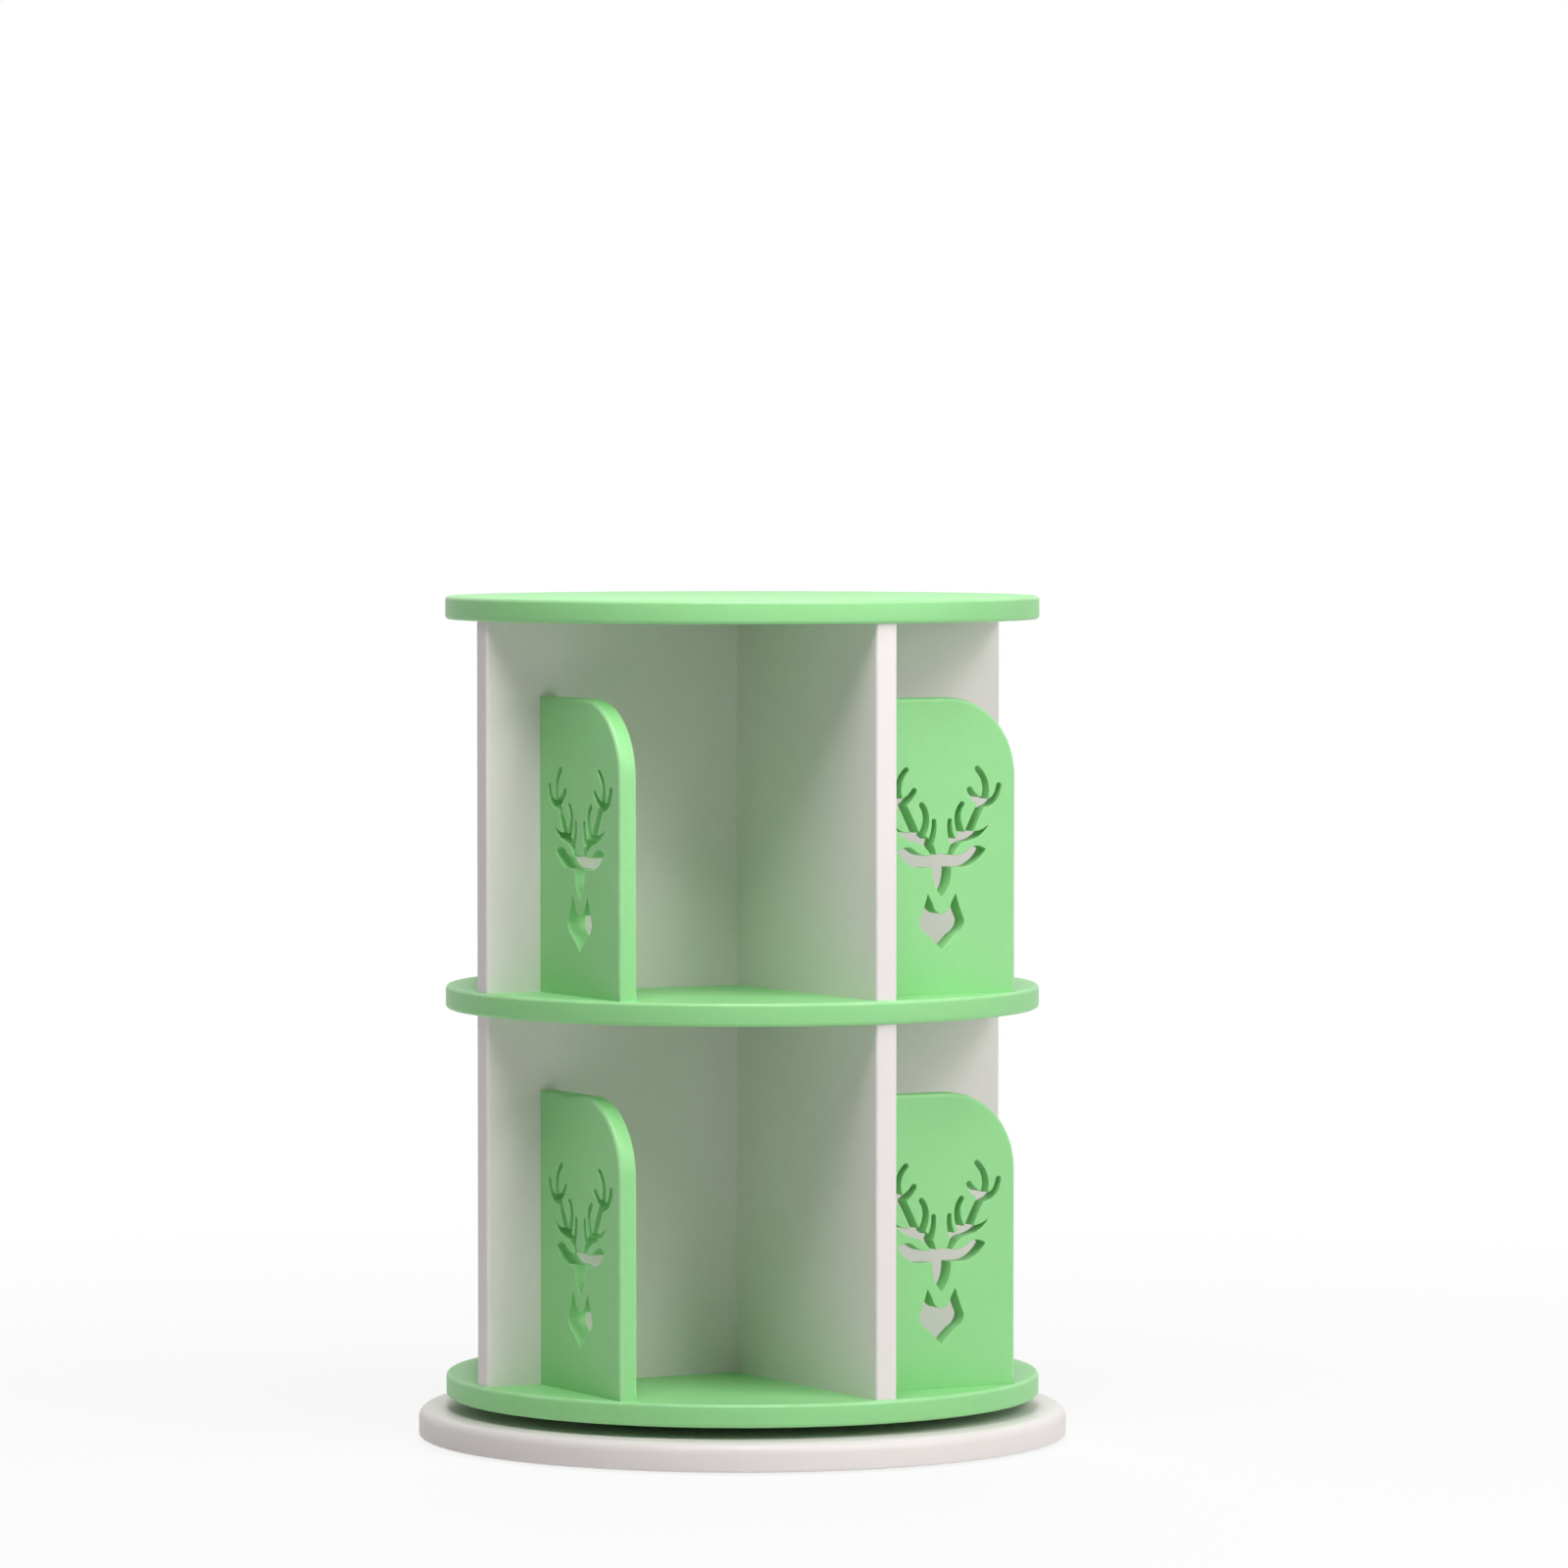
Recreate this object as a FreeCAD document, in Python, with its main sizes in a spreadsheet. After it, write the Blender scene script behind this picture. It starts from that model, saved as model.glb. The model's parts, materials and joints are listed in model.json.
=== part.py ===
import FreeCAD, Part
import math
import os

import Sketcher

# Two-tier revolving bookcase for children's books, in millimetres, +Z up.
# The origin is the centre of the base on the floor. The divider boards run along X and Y.

doc = FreeCAD.newDocument("revolving_bookcase")

# Driving dimensions
# Every size that a designer would change by itself stands here once.
driving = {
    # Base disc and its pads
    "base_diameter": 506,
    "base_thickness": 22,
    "base_rim_round": 8,
    "pad_side": 26,
    "pad_thickness": 2,
    "pad_circle": 420,
    # Shelf discs
    "shelf_diameter": 463,
    "shelf_thickness": 18,
    "shelf_edge": 2,
    # Divider boards
    "lower_opening": 285,
    "upper_opening": 285,
    "divider_thickness": 18,
    "divider_inset": 3.5,
    "divider_edge": 1.5,
    # Bookend boards
    "bookend_offset": 167,
    "bookend_thickness": 15,
    "bookend_reach": 131,
    "bookend_height": 227,
    "bookend_corner": 60,
    # Deer cut-out
    "chin_level": 34,
    # Wooden tenons that join the boards
    "tenon_thickness": 6,
    "tenon_width": 40,
    "tenon_circle": 220,
    "tenon_shelf_depth": 12,
    "tenon_board_depth": 28,
    "cross_tenon_depth": 20,
    "cross_tenon_low": 60,
    "cross_tenon_high": 185,
    "bookend_tenon_level": 25,
    "bookend_tenon_height": 50,
    "bookend_tenon_depth": 20,
    "bookend_tenon_bite": 10,
    "tenon_clearance": 0.05,
    "tenon_end_clearance": 0.5,
    # Turntable
    "turntable_height": 9,
    "plate_gap": 1.8,
    "lower_plate_diameter": 200,
    "upper_plate_diameter": 164,
    "ball_diameter": 5,
    "ball_circle": 144,
    "ball_count": 16,
    "race_clearance": 0.05,
    "cage_width": 12,
    "cage_thickness": 1,
    "window_clearance": 0.1,
    "rivet_diameter": 20,
    "rivet_flange_diameter": 32,
    "rivet_flange_thickness": 1.5,
    "rivet_recess": 1.8,
    "rivet_clearance": 0.05,
}


class Size:
    """A length that knows its number and its spreadsheet formula."""

    def __init__(self, number, formula=None):
        self.number = float(number)
        self.formula = formula or repr(float(number))

    def __add__(self, other):
        other = as_size(other)
        return Size(self.number + other.number, f"({self.formula} + {other.formula})")

    def __sub__(self, other):
        other = as_size(other)
        return Size(self.number - other.number, f"({self.formula} - {other.formula})")

    def __mul__(self, other):
        other = as_size(other)
        return Size(self.number * other.number, f"({self.formula} * {other.formula})")

    def __truediv__(self, other):
        other = as_size(other)
        return Size(self.number / other.number, f"({self.formula} / {other.formula})")

    def __neg__(self):
        return self * -1


def as_size(value):
    return value if isinstance(value, Size) else Size(value)


class Sizes:
    """The spreadsheet's cells by name."""


sheet = doc.addObject("Spreadsheet::Sheet", "sizes")
dim = Sizes()
for row, (name, number) in enumerate(driving.items(), start=1):
    sheet.set(f"A{row}", name)
    sheet.set(f"B{row}", str(number))
    sheet.setAlias(f"B{row}", name)
    setattr(dim, name, Size(number, f"sizes.{name}"))
doc.recompute()

# Levels, worked out from the thicknesses and openings
base_bottom = dim.pad_thickness
base_top = base_bottom + dim.base_thickness
bottom_shelf_level = base_top + dim.turntable_height
lower_floor = bottom_shelf_level + dim.shelf_thickness
middle_shelf_level = lower_floor + dim.lower_opening
upper_floor = middle_shelf_level + dim.shelf_thickness
top_shelf_level = upper_floor + dim.upper_opening

# Places shared by pieces that meet
divider_reach = dim.shelf_diameter / 2 - dim.divider_inset
divider_face = dim.divider_thickness / 2
bookend_middle = dim.bookend_offset + dim.bookend_thickness / 2
tenon_inner = dim.tenon_circle / 2 - dim.tenon_width / 2
tenon_outer = dim.tenon_circle / 2 + dim.tenon_width / 2
plate_thickness = (dim.turntable_height - dim.plate_gap) / 2
ball_level = dim.turntable_height / 2
arm_count = 4


# Helpers for bodies and sketches


def new_body(name, turn=0, x=0, y=0, z=0):
    """A body of its own, placed at x, y, z and turned about Z by a number of degrees."""
    body = doc.addObject("PartDesign::Body", name)
    body.Label = name
    body.AllowCompound = True
    place = [as_size(value) for value in (x, y, z)]
    base = FreeCAD.Vector(*[value.number for value in place])
    body.Placement = FreeCAD.Placement(base, FreeCAD.Rotation(FreeCAD.Vector(0, 0, 1), turn))
    for axis, value in zip("xyz", place):
        body.setExpression(f"Placement.Base.{axis}", value.formula)
    return body


def new_sketch(body, name, plane="XY_Plane", across=0, up=0, out=0):
    """A sketch on one of the body's origin planes, shifted across, up and out of that plane."""
    sketch = body.newObject("Sketcher::SketchObject", f"{body.Name}_{name}")
    origin_plane = [item for item in body.Origin.OriginFeatures if item.Role == plane][0]
    sketch.AttachmentSupport = [(origin_plane, "")]
    sketch.MapMode = "FlatFace"
    shift = [as_size(value) for value in (across, up, out)]
    base = FreeCAD.Vector(*[value.number for value in shift])
    sketch.AttachmentOffset = FreeCAD.Placement(base, FreeCAD.Rotation())
    for axis, value in zip("xyz", shift):
        sketch.setExpression(f"AttachmentOffset.Base.{axis}", value.formula)
    return sketch


def pin_point(sketch, edge, end, axis, value):
    """Holds one point of a sketch at a bound distance from the sketch's own origin."""
    if value.number == 0:
        line = -2 if axis == "X" else -1
        sketch.addConstraint(Sketcher.Constraint("PointOnObject", edge, end, line))
        return
    kind = f"Distance{axis}"
    if value.number > 0:
        number = sketch.addConstraint(Sketcher.Constraint(kind, -1, 1, edge, end, value.number))
        sketch.setExpression(f"Constraints[{number}]", value.formula)
    else:
        flipped = -value
        number = sketch.addConstraint(Sketcher.Constraint(kind, edge, end, -1, 1, flipped.number))
        sketch.setExpression(f"Constraints[{number}]", flipped.formula)


def draw_outline(sketch, corners):
    """A closed outline of straight lines whose corners are bound to the spreadsheet."""
    corners = [(as_size(x), as_size(y)) for x, y in corners]
    points = [FreeCAD.Vector(x.number, y.number, 0) for x, y in corners]
    lines = []
    for start, end in zip(points, points[1:] + points[:1]):
        lines.append(sketch.addGeometry(Part.LineSegment(start, end), False))
    for line, following in zip(lines, lines[1:] + lines[:1]):
        sketch.addConstraint(Sketcher.Constraint("Coincident", line, 2, following, 1))
    for line, (x, y) in zip(lines, corners):
        pin_point(sketch, line, 1, "X", x)
        pin_point(sketch, line, 1, "Y", y)


def draw_circle(sketch, radius, x=0, y=0):
    """A circle with a bound radius and a bound centre."""
    radius, x, y = as_size(radius), as_size(x), as_size(y)
    centre = FreeCAD.Vector(x.number, y.number, 0)
    up = FreeCAD.Vector(0, 0, 1)
    circle = sketch.addGeometry(Part.Circle(centre, up, radius.number), False)
    number = sketch.addConstraint(Sketcher.Constraint("Radius", circle, radius.number))
    sketch.setExpression(f"Constraints[{number}]", radius.formula)
    pin_point(sketch, circle, 3, "X", x)
    pin_point(sketch, circle, 3, "Y", y)


def pad(sketch, length):
    """Thickens a sketch along its own normal."""
    body = sketch.getParentGeoFeatureGroup()
    feature = body.newObject("PartDesign::Pad", f"{sketch.Name}_pad")
    feature.Profile = sketch
    feature.Length = as_size(length).number
    feature.setExpression("Length", as_size(length).formula)
    doc.recompute()
    return feature


def cut_through(sketch):
    """Cuts a sketch right through its body."""
    body = sketch.getParentGeoFeatureGroup()
    before = body.Shape.Volume
    feature = body.newObject("PartDesign::Pocket", f"{sketch.Name}_pocket")
    feature.Profile = sketch
    feature.Type = "ThroughAll"
    feature.Midplane = True
    doc.recompute()
    if not body.Shape.Volume < before - 0.01:
        raise RuntimeError(f"{feature.Name} removed nothing")
    return feature


def cut_to_depth(sketch, depth, along_normal=False):
    """Cuts a sketch to a bound depth, against its normal or along it."""
    body = sketch.getParentGeoFeatureGroup()
    before = body.Shape.Volume
    feature = body.newObject("PartDesign::Pocket", f"{sketch.Name}_pocket")
    feature.Profile = sketch
    feature.Reversed = along_normal
    feature.Length = depth.number
    feature.setExpression("Length", depth.formula)
    doc.recompute()
    if not body.Shape.Volume < before - 0.01:
        raise RuntimeError(f"{feature.Name} removed nothing")
    return feature


def revolve(sketch):
    """Turns a half profile about its sketch's vertical axis."""
    body = sketch.getParentGeoFeatureGroup()
    feature = body.newObject("PartDesign::Revolution", f"{sketch.Name}_revolution")
    feature.Profile = sketch
    feature.ReferenceAxis = (sketch, ["V_Axis"])
    feature.Angle = 360
    doc.recompute()
    return feature


def repeat_round(features, count, whole_body=False):
    """Repeats features, or the whole body so far, round the body's Z axis."""
    body = features[0].getParentGeoFeatureGroup()
    pattern = body.newObject("PartDesign::PolarPattern", f"{features[0].Name}_pattern")
    if whole_body:
        pattern.TransformMode = "Whole shape"
    else:
        pattern.Originals = features
    axis = [item for item in body.Origin.OriginFeatures if item.Role == "Z_Axis"][0]
    pattern.Axis = (axis, [""])
    pattern.Angle = 360
    pattern.Occurrences = int(as_size(count).number)
    pattern.setExpression("Occurrences", as_size(count).formula)
    body.Tip = pattern
    doc.recompute()
    return pattern


def dress_edges(body, kind, size, wanted):
    """A fillet or a chamfer on those edges of the body that the given test picks."""
    carrier = body.Tip
    names = [f"Edge{i}" for i, edge in enumerate(carrier.Shape.Edges, start=1) if wanted(edge)]
    if not names:
        raise RuntimeError(f"{body.Name} has no edge to dress")
    feature = body.newObject(f"PartDesign::{kind}", f"{body.Name}_{kind.lower()}_{len(body.Group)}")
    feature.Base = (carrier, names)
    setting = "Radius" if kind == "Fillet" else "Size"
    setattr(feature, setting, size.number)
    feature.setExpression(setting, size.formula)
    doc.recompute()
    return feature


def is_circle_at(edge, level, diameter):
    """Whether an edge is a full circle of that diameter at that level of its body."""
    if not isinstance(edge.Curve, Part.Circle):
        return False
    same_level = abs(edge.Curve.Center.z - level.number) < 1e-4
    return same_level and abs(edge.Curve.Radius - diameter.number / 2) < 1e-4


# Discs


def disc(name, diameter, thickness, level):
    body = new_body(name, z=level)
    outline = new_sketch(body, "outline")
    draw_circle(outline, diameter / 2)
    pad(outline, thickness)
    return body


def bevel_rim(body, diameter, level, size):
    """A chamfer round one rim of a disc."""
    dress_edges(body, "Chamfer", size, lambda edge: is_circle_at(edge, level, diameter))


def draw_box(sketch, left, low, right, high):
    """A rectangle given by its left, low, right and high sides."""
    draw_outline(sketch, [(left, low), (right, low), (right, high), (left, high)])


def draw_slot(sketch, left, low, right, high):
    """The rectangle of a slot, which leaves the tenon its clearance."""
    spare = dim.tenon_clearance
    draw_box(sketch, left - spare, low - spare, right + spare, high + spare)


tenon_half = dim.tenon_thickness / 2

# Base disc
# Its rim is rounded in two flats, which follow a quarter circle.
base = new_body("base_disc", z=base_bottom)
base_profile = new_sketch(base, "half_profile", "XZ_Plane")
base_radius = dim.base_diameter / 2
rim_flats = 2
rim_corners = []
for step in range(rim_flats + 1):
    angle = math.pi / 2 * step / rim_flats
    inset = dim.base_rim_round * (1 - math.cos(angle))
    drop = dim.base_rim_round * (1 - math.sin(angle))
    rim_corners.append((base_radius - inset, dim.base_thickness - drop))
draw_outline(base_profile, [(0, 0), (base_radius, 0)] + rim_corners + [(0, dim.base_thickness)])
revolve(base_profile)

# Pads under the base
pads = new_body("base_pads")
pad_sketch = new_sketch(pads, "outline", across=dim.pad_circle / 2)
pad_half = dim.pad_side / 2
draw_box(pad_sketch, -pad_half, -pad_half, pad_half, pad_half)
repeat_round([pad(pad_sketch, dim.pad_thickness)], 4)

# Shelf discs
shelf_levels = {
    "bottom_shelf": bottom_shelf_level,
    "middle_shelf": middle_shelf_level,
    "top_shelf": top_shelf_level,
}
shelf_slot_starts = {
    "bottom_shelf": dim.shelf_thickness,
    "middle_shelf": dim.shelf_thickness,
    "top_shelf": dim.tenon_shelf_depth + dim.tenon_end_clearance,
}
for name, level in shelf_levels.items():
    shelf = disc(name, dim.shelf_diameter, dim.shelf_thickness, level)
    bevel_rim(shelf, dim.shelf_diameter, dim.shelf_thickness, dim.shelf_edge)
    slot = new_sketch(shelf, "tenon_slot", out=shelf_slot_starts[name])
    draw_slot(slot, tenon_inner, -tenon_half, tenon_outer, tenon_half)
    depth = dim.tenon_shelf_depth + dim.tenon_end_clearance
    if name == "middle_shelf":
        depth = dim.shelf_thickness
    repeat_round([cut_to_depth(slot, depth)], arm_count)

# Divider boards


def divider(name, turn, inner_end, level, opening):
    """A divider board that stands on its shelf, from its inner end out to the rim inset."""
    body = new_body(name, turn=turn, z=level)
    outline = new_sketch(body, "outline")
    draw_box(outline, inner_end, -divider_face, divider_reach, divider_face)
    pad(outline, opening)

    def is_outer_upright(edge):
        upright = abs(edge.tangentAt(edge.FirstParameter).z) > 0.999
        reach = max(abs(vertex.X) for vertex in edge.Vertexes)
        return upright and abs(reach - divider_reach.number) < 1e-4

    dress_edges(body, "Chamfer", dim.divider_edge, is_outer_upright)
    full_width = inner_end.number < 0
    sides = (1, -1) if full_width else (1,)
    depth = dim.tenon_board_depth + dim.tenon_end_clearance
    for label, start, upwards in (("low_slot", 0, True), ("high_slot", opening, False)):
        slot = new_sketch(body, label, out=start)
        for side in sides:
            ends = (tenon_inner, tenon_outer) if side > 0 else (-tenon_outer, -tenon_inner)
            draw_slot(slot, ends[0], -tenon_half, ends[1], tenon_half)
        cut_to_depth(slot, depth, upwards)
    cross_bottoms = (dim.cross_tenon_low, dim.cross_tenon_high)
    if full_width:
        cross_slot = new_sketch(body, "cross_slot", "XZ_Plane")
        for bottom in cross_bottoms:
            draw_slot(cross_slot, -tenon_half, bottom, tenon_half, bottom + dim.tenon_width)
        cut_through(cross_slot)
    else:
        cross_slot = new_sketch(body, "cross_slot", "YZ_Plane", out=inner_end)
        for bottom in cross_bottoms:
            draw_slot(cross_slot, -tenon_half, bottom, tenon_half, bottom + dim.tenon_width)
        cut_to_depth(cross_slot, dim.cross_tenon_depth + dim.tenon_end_clearance, True)
    bookend_slot = new_sketch(body, "bookend_slot", out=dim.bookend_tenon_level - dim.tenon_clearance)
    bite = dim.bookend_tenon_bite + dim.tenon_end_clearance
    near = bookend_middle - tenon_half - dim.tenon_clearance
    far = bookend_middle + tenon_half + dim.tenon_clearance
    draw_box(bookend_slot, near, divider_face - bite, far, divider_face)
    if full_width:
        draw_box(bookend_slot, -far, -divider_face, -near, bite - divider_face)
    cut_to_depth(bookend_slot, dim.bookend_tenon_height + dim.tenon_clearance * 2, True)
    return body


tiers = [
    ("lower", lower_floor, dim.lower_opening),
    ("upper", upper_floor, dim.upper_opening),
]
for tier, floor, opening in tiers:
    divider(f"{tier}_long_divider", 0, -divider_reach, floor, opening)
    divider(f"{tier}_back_divider", 90, divider_face, floor, opening)
    divider(f"{tier}_front_divider", 270, divider_face, floor, opening)

# Deer cut-out
# It is drawn in millimetres from its chin, for the half to the right of its centre line.
# Each tine is a bent centre line from root to tip, with its width at the root and at the tip.
# Brow, face and neck are closed outlines.

beam = ([(22.5, 86), (36, 113)], 7.5, 6.5)
hook = ([(34.5, 111.5), (45.5, 114), (50.5, 125)], 6.5, 5)
cross_tine = ([(38.5, 111), (25, 121.5)], 7, 6)
upper_tine = ([(36.5, 112), (38.5, 126), (31.5, 137.5)], 6.5, 5.5)
inner_tine = ([(18.5, 86), (14, 102), (17.8, 110.5)], 6.5, 6)
inmost_tine = ([(10, 82), (7, 98)], 5.5, 4.5)
brow_outline = [
    ("start", (5, 72.5)),
    ("line", (10, 83.5)),
    ("line", (23.5, 90.5)),
    ("line", (33, 90.8)),
    ("line", (41.5, 95)),
    ("line", (33, 86)),
    ("line", (15, 78.8)),
    ("line", (9.5, 72)),
]
face_half = [
    ("start", (0, 73.5)),
    ("line", (17, 72.7)),
    ("line", (24.5, 77)),
    ("line", (32, 79)),
    ("line", (39, 76)),
    ("line", (33, 68.5)),
    ("line", (21.5, 63)),
    ("line", (8, 63)),
    ("line", (6.6, 51)),
    ("line", (0, 40)),
]
neck_half = [
    ("start", (0, 27.5)),
    ("line", (5.5, 30)),
    ("line", (12.3, 43)),
    ("arc", (15.6, 32.5), (19.8, 22.5)),
    ("line", (17.6, 15.8)),
    ("line", (0, 0)),
]


def draw_steps(sketch, steps):
    """A closed outline of lines and of arcs, each arc through a middle point to its end."""
    at = FreeCAD.Vector(*steps[0][1], 0)
    first = at
    for step in steps[1:]:
        end = FreeCAD.Vector(*step[-1], 0)
        if step[0] == "arc":
            sketch.addGeometry(Part.Arc(at, FreeCAD.Vector(*step[1], 0), end), False)
        else:
            sketch.addGeometry(Part.LineSegment(at, end), False)
        at = end
    if (at - first).Length > 1e-6:
        sketch.addGeometry(Part.LineSegment(at, first), False)


def mirrored_steps(half):
    """A whole outline from its right half, whose first and last points lie on the centre line."""
    steps = list(half)
    for index in range(len(half) - 1, 0, -1):
        end = (-half[index - 1][-1][0], half[index - 1][-1][1])
        if half[index][0] == "arc":
            middle = (-half[index][1][0], half[index][1][1])
            steps.append(("arc", middle, end))
        else:
            steps.append(("line", end))
    return steps


def draw_tine(sketch, tine):
    """A tapering tine round a bent centre line, with a blunt point at its tip."""
    path, root_width, tip_width = tine
    points = [FreeCAD.Vector(*point, 0) for point in path]
    legs = [(end - start).normalize() for start, end in zip(points, points[1:])]
    left, right = [], []
    for index, point in enumerate(points):
        before = legs[max(index - 1, 0)]
        after = legs[min(index, len(legs) - 1)]
        along = (before + after).normalize()
        across = FreeCAD.Vector(-along.y, along.x, 0)
        share = index / (len(points) - 1)
        half = (root_width + (tip_width - root_width) * share) / 2
        left.append(point + across * half)
        right.append(point - across * half)
    tip = points[-1] + legs[-1] * (tip_width / 2)
    outline = left + [tip] + right[::-1]
    draw_steps(sketch, [("start", tuple(outline[0])[:2])] + [("line", tuple(p)[:2]) for p in outline[1:]])


def cut_deer(body):
    """Cuts the deer through a bookend, centred across the board."""
    place = {"plane": "XZ_Plane", "across": dim.bookend_reach / 2, "up": dim.chin_level}
    right_half = {
        "beam": [beam, inmost_tine],
        "hook": [hook, inner_tine],
        "cross_tine": [cross_tine],
        "upper_tine": [upper_tine],
    }
    cuts = []
    for label, tines in right_half.items():
        sketch = new_sketch(body, label, **place)
        for tine in tines:
            draw_tine(sketch, tine)
        if label == "upper_tine":
            draw_steps(sketch, brow_outline)
        cuts.append(cut_through(sketch))
    other_half = body.newObject("PartDesign::Mirrored", f"{body.Name}_other_half")
    other_half.Originals = cuts
    other_half.MirrorPlane = (cuts[0].Profile[0], ["V_Axis"])
    body.Tip = other_half
    doc.recompute()
    head = new_sketch(body, "face_and_neck", **place)
    draw_steps(head, mirrored_steps(face_half))
    draw_steps(head, mirrored_steps(neck_half))
    cut_through(head)


# Bookend boards
# Each stands against one divider face; the next ones are the same board turned by a quarter.


def bookend(name, quarter, level):
    cosine, sine = [(1, 0), (0, 1), (-1, 0), (0, -1)][quarter]
    near_x, near_y = divider_face, -dim.bookend_offset
    body = new_body(
        name,
        turn=90 * quarter,
        x=near_x * cosine - near_y * sine,
        y=near_x * sine + near_y * cosine,
        z=level,
    )
    outline = new_sketch(body, "outline", "XZ_Plane")
    draw_box(outline, 0, 0, dim.bookend_reach, dim.bookend_height)
    pad(outline, dim.bookend_thickness)

    def is_outer_top(edge):
        middle = edge.CenterOfMass
        at_reach = abs(middle.x - dim.bookend_reach.number) < 1e-4
        return at_reach and abs(middle.z - dim.bookend_height.number) < 1e-4

    dress_edges(body, "Fillet", dim.bookend_corner, is_outer_top)
    slot = new_sketch(body, "tenon_slot", out=dim.bookend_tenon_level - dim.tenon_clearance)
    middle = -dim.bookend_thickness / 2
    spare = tenon_half + dim.tenon_clearance
    draw_box(slot, 0, middle - spare, dim.bookend_tenon_depth + dim.tenon_end_clearance, middle + spare)
    cut_to_depth(slot, dim.bookend_tenon_height + dim.tenon_clearance * 2, True)
    cut_deer(body)
    return body


for tier, floor, opening in tiers:
    for quarter in range(4):
        bookend(f"{tier}_bookend_{quarter + 1}", quarter, floor)

# Wooden tenons
# Each group shares one body: the tenons that join the dividers to a shelf, the ones that
# cross the long divider into the short ones, and the ones that hold the bookends.


def shelf_tenons(name, level, below, above):
    body = new_body(name, z=level)
    sketch = new_sketch(body, "outline", out=-as_size(below))
    draw_box(sketch, tenon_inner, -tenon_half, tenon_outer, tenon_half)
    repeat_round([pad(sketch, as_size(below) + above)], arm_count)


board_depth = dim.tenon_board_depth
shelf_tenons("bottom_tenons", lower_floor, dim.tenon_shelf_depth, board_depth)
shelf_tenons("middle_tenons", middle_shelf_level, board_depth, dim.shelf_thickness + board_depth)
shelf_tenons("top_tenons", top_shelf_level, board_depth, dim.tenon_shelf_depth)
for tier, floor, opening in tiers:
    cross = new_body(f"{tier}_cross_tenons", z=floor)
    sketch = new_sketch(cross, "outline", "XZ_Plane", out=-(divider_face + dim.cross_tenon_depth))
    for bottom in (dim.cross_tenon_low, dim.cross_tenon_high):
        draw_box(sketch, -tenon_half, bottom, tenon_half, bottom + dim.tenon_width)
    pad(sketch, (divider_face + dim.cross_tenon_depth) * 2)
    held = new_body(f"{tier}_bookend_tenons", z=floor)
    sketch = new_sketch(held, "outline", out=dim.bookend_tenon_level)
    inner = divider_face - dim.bookend_tenon_bite
    outer = divider_face + dim.bookend_tenon_depth
    draw_box(sketch, bookend_middle - tenon_half, inner, bookend_middle + tenon_half, outer)
    repeat_round([pad(sketch, dim.bookend_tenon_height)], arm_count)

# Turntable
# Two plates with facing V races carry the balls. The rivet is pressed into the lower plate,
# and its flange turns in the upper one and keeps the plates together.

race_reach = (dim.ball_diameter / 2 + dim.race_clearance) * math.sqrt(2)
race_half_width = race_reach - dim.plate_gap / 2
race_radius = dim.ball_circle / 2
rivet_radius = dim.rivet_diameter / 2
flange_radius = dim.rivet_flange_diameter / 2


def race_corners(outer):
    """The race side of a lower plate's half profile, from the rim inwards."""
    return [
        (outer / 2, 0),
        (outer / 2, plate_thickness),
        (race_radius + race_half_width, plate_thickness),
        (race_radius, ball_level - race_reach),
        (race_radius - race_half_width, plate_thickness),
    ]


lower_plate = new_body("turntable_lower_plate", z=base_top)
lower_profile = new_sketch(lower_plate, "half_profile", "XZ_Plane")
draw_outline(
    lower_profile,
    [(rivet_radius, 0)] + race_corners(dim.lower_plate_diameter) + [(rivet_radius, plate_thickness)],
)
revolve(lower_profile)

upper_plate = new_body("turntable_upper_plate", z=base_top)
upper_profile = new_sketch(upper_plate, "half_profile", "XZ_Plane")
plate_hole = rivet_radius + dim.rivet_clearance
recess_radius = flange_radius + dim.tenon_end_clearance
hanging_corners = [(recess_radius, 0)] + race_corners(dim.upper_plate_diameter) + [
    (plate_hole, plate_thickness),
    (plate_hole, dim.rivet_recess),
    (recess_radius, dim.rivet_recess),
]
draw_outline(upper_profile, [(x, dim.turntable_height - as_size(z)) for x, z in hanging_corners])
revolve(upper_profile)

rivet = new_body("turntable_rivet", z=base_top)
rivet_profile = new_sketch(rivet, "half_profile", "XZ_Plane")
flange_seat = dim.turntable_height - dim.rivet_recess + dim.rivet_clearance
flange_top = flange_seat + dim.rivet_flange_thickness
draw_outline(
    rivet_profile,
    [
        (0, 0),
        (rivet_radius, 0),
        (rivet_radius, flange_seat),
        (flange_radius, flange_seat),
        (flange_radius, flange_top),
        (0, flange_top),
    ],
)
revolve(rivet_profile)

# Ball cage
# It is moulded as a ring of straight links, one to each ball.
cage = new_body("ball_cage", z=base_top)
cage_sketch = new_sketch(cage, "links", out=ball_level - dim.cage_thickness / 2)
link_count = int(dim.ball_count.number)
for flat_radius in (race_radius + dim.cage_width / 2, race_radius - dim.cage_width / 2):
    corner_radius = flat_radius / math.cos(math.pi / link_count)
    angles = [2 * math.pi * (link + 0.5) / link_count for link in range(link_count)]
    draw_outline(cage_sketch, [(corner_radius * math.cos(a), corner_radius * math.sin(a)) for a in angles])
pad(cage_sketch, dim.cage_thickness)
window = new_sketch(cage, "window", across=race_radius)
window_half = dim.ball_diameter / 2 + dim.window_clearance
draw_box(window, -window_half, -window_half, window_half, window_half)
repeat_round([cut_through(window)], dim.ball_count)

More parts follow.
